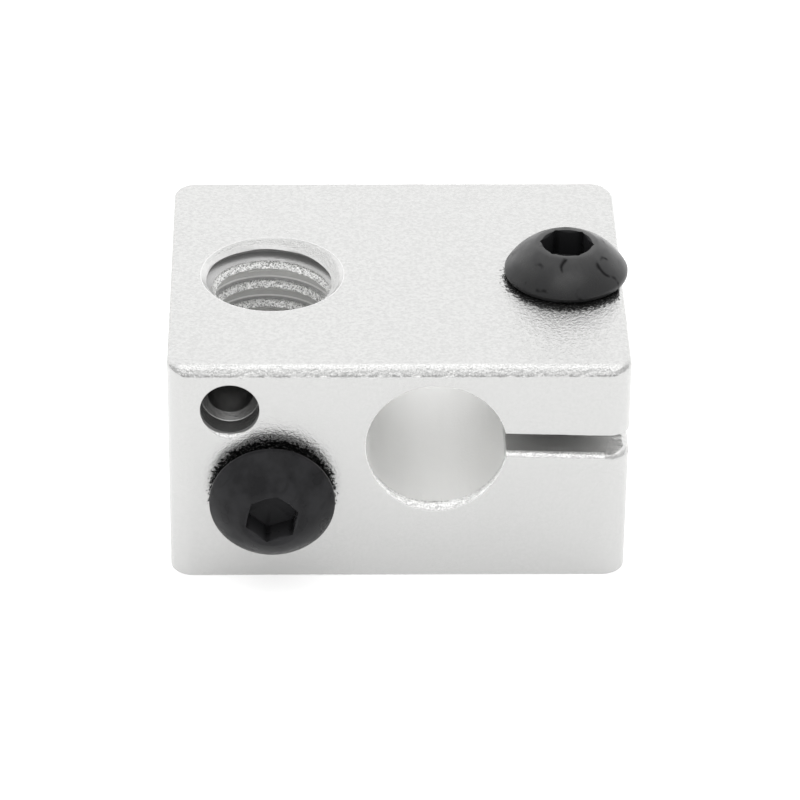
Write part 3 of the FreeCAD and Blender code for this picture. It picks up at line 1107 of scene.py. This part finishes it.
# A scuff runs where the streaks' noise comes this near to one value, in patches of the mottle.
SCUFF_VALUE = 0.52
SCUFF_WIDTH = 0.04
SCUFF_PATCHES = (0.5, 0.62)
SCUFF_GREY = 0.006
# The socket's inside reflects little, and so does a scuff, as a share of the gloss.
SOCKET_GLOSS = 0.05
SCUFF_GLOSS = 0.1
# The mottle's values that the ramps run over, and the shares or roughness at their ends.
GREY_MOTTLE = (0.35, 0.65)
GLOSS_MOTTLE = (0.3, 0.7)
GLOSS_SHARES = (1.15, 0.8)
OXIDE_ROUGH = (0.26, 0.4)
# The round mask of the socket ends at these distances from the radius of its mouth.
SOCKET_EDGE = (-0.02, 0.03)


def black_oxide(name, node, across, gloss, scuffs, inside, tones):
    """Satin black between two tones, with its own tone inside the socket.

    across is 0 along the screw's axis and 1 across it, and scuffs is how plain the scuffs are.
    """
    nodes = new_material(name)
    place = nodes.add("TexCoord").outputs["Object"]
    low, high = box_mm(node)
    radius = from_axis(nodes, place, tuple((low + high) / 2 * MM), across)
    start, end = (SOCKET_MOUTH + past for past in SOCKET_EDGE)
    outside = step(nodes, radius, start, end)
    mottle = noise(nodes, place, *MOTTLE)
    off_line = maths(nodes, "SUBTRACT", noise(nodes, place, *STREAKS), SCUFF_VALUE)
    line = ramp(nodes, maths(nodes, "ABSOLUTE", off_line), SCUFF_WIDTH, 0.0)
    scuff = both(nodes, line, ramp(nodes, mottle, *SCUFF_PATCHES), outside, scuffs)
    tone = blend(nodes, outside, inside, ramp(nodes, mottle, *GREY_MOTTLE, *tones))
    shine = ramp(nodes, mottle, *GLOSS_MOTTLE, *(gloss * share for share in GLOSS_SHARES))
    shine = blend(nodes, outside, SOCKET_GLOSS, shine)
    nodes.shade(
        Base_Color=grey(nodes, blend(nodes, scuff, tone, SCUFF_GREY), OXIDE_TINT),
        Roughness=ramp(nodes, mottle, *GLOSS_MOTTLE, *OXIDE_ROUGH),
        Specular_IOR_Level=blend(nodes, scuff, shine, gloss * SCUFF_GLOSS),
        Normal=grain(nodes, noise(nodes, place, *FINE), FINE_STRENGTH, FINE_HEIGHT),
    )
    return nodes.owner


# Stage, light and camera.

CAMERA_AIM = Vector((0.00571, 0.0, 0.00403))
CAMERA_DISTANCE = 0.19667
CAMERA_YAW, CAMERA_PITCH, CAMERA_ROLL = (math.radians(a) for a in (-1.437, 32.813, 0.660))
CAMERA_LENS = 196.24
SENSOR = 36.0
CLIP = (0.01, 5)


def make_camera():
    """The photo's view: from a little above, almost straight at the front face."""
    camera = bpy.data.cameras.new("camera")
    camera.lens = CAMERA_LENS
    camera.sensor_width = SENSOR
    camera.clip_start, camera.clip_end = CLIP
    thing = bpy.data.objects.new("camera", camera)
    bpy.context.scene.collection.objects.link(thing)
    turned = (
        Matrix.Rotation(CAMERA_YAW, 4, "Z")
        @ Matrix.Rotation(math.pi / 2 - CAMERA_PITCH, 4, "X")
        @ Matrix.Rotation(CAMERA_ROLL, 4, "Z")
    )
    back = turned.to_3x3() @ Vector((0, 0, CAMERA_DISTANCE))
    thing.matrix_world = Matrix.Translation(CAMERA_AIM + back) @ turned
    bpy.context.scene.camera = thing


FLOOR_COLOUR = (0.8, 0.8, 0.8, 1)
FLOOR_GLOW = 0.49
FLOOR_HALF = 1.0
WHITE = (1, 1, 1, 1)


def make_stage():
    """A pale floor, lit evenly enough to come out white."""
    nodes = new_material("floor_finish")
    nodes.shade(Base_Color=FLOOR_COLOUR, Roughness=1.0, Specular_IOR_Level=0.0)
    nodes.shade(Emission_Color=WHITE, Emission_Strength=FLOOR_GLOW)
    mesh = bpy.data.meshes.new("floor")
    corners = [(FLOOR_HALF * x, FLOOR_HALF * y, 0) for x, y in [(-1, -1), (1, -1), (1, 1), (-1, 1)]]
    mesh.from_pydata(corners, [], [(0, 1, 2, 3)])
    mesh.materials.append(nodes.owner)
    floor = bpy.data.objects.new("floor", mesh)
    bpy.context.scene.collection.objects.link(floor)


# Soft lights, and a dim patch where the camera stands: the way each lies, the angles where it
# starts to fade and ends, and its strength.
AMBIENT = 0.82
SOFT_LIGHTS = [
    ((0.0, 0.766, 0.643), 15, 85, 0.98),
    ((0.0, -0.36, 0.933), 12, 36, 0.9),
    ((0.0, -0.92, 0.39), 12, 32, -0.14),
]


def make_light():
    """A soft dome: a bright backdrop, a soft box overhead, and a dimmer room in front."""
    world = bpy.data.worlds.new("studio")
    bpy.context.scene.world = world
    nodes = Nodes(world)
    way = nodes.add("TexCoord").outputs["Generated"]
    total = None
    for axis, start, end, strength in SOFT_LIGHTS:
        lean = nodes.add("VectorMath", {0: way, 1: Vector(axis).normalized()}, operation="DOT_PRODUCT")
        near, far = math.cos(math.radians(start)), math.cos(math.radians(end))
        glow = ramp(nodes, lean.outputs["Value"], far, near, 0.0, strength)
        total = maths(nodes, "ADD", total if total else AMBIENT, glow)
    background = nodes.tree.nodes["Background"]
    nodes.fill(background.inputs["Strength"], total)
    nodes.fill(background.inputs["Color"], WHITE)


# How far each head is turned about its axis.
CLAMP_TURN = math.radians(52.5)
FIXING_TURN = math.radians(18.5)
# Gloss, scuffs, the tone in the socket and the two tones outside it.
CLAMP_BLACK = (0.44, 1.0, 0.02, (0.008, 0.013))
# The thermistor screw has the clamp screw's black, painted lighter and given less gloss: painted light
# on the dome that faces the front.
FIXING_BLACK = (0.06, 0.25, 0.032, (0.016, 0.026))

bpy.context.scene.view_settings.view_transform = "Standard"
make_camera()
make_stage()
make_light()
make_heater_block(aluminium())
make_screw(
    "clamp_screw",
    TOP - CLAMP_LOW[2],
    CLAMP_TURN,
    Matrix.Translation((CLAMP_AXIS[0], 0, TOP)),
    black_oxide("black_oxide_finish", "clamp_screw", (1, 1, 0), *CLAMP_BLACK),
)
make_screw(
    "thermistor_screw",
    FIXING_HIGH[1] - FIXING_LOW[1] - HEAD_HEIGHT,
    FIXING_TURN,
    out_of_front(FIXING_AXIS[0], FIXING_AXIS[2]) @ Matrix.Translation((0, 0, FIXING_GAP)),
    # The same black as the clamp screw's, painted lighter.
    black_oxide("dull_black_oxide_finish", "thermistor_screw", (1, 0, 1), *FIXING_BLACK),
)
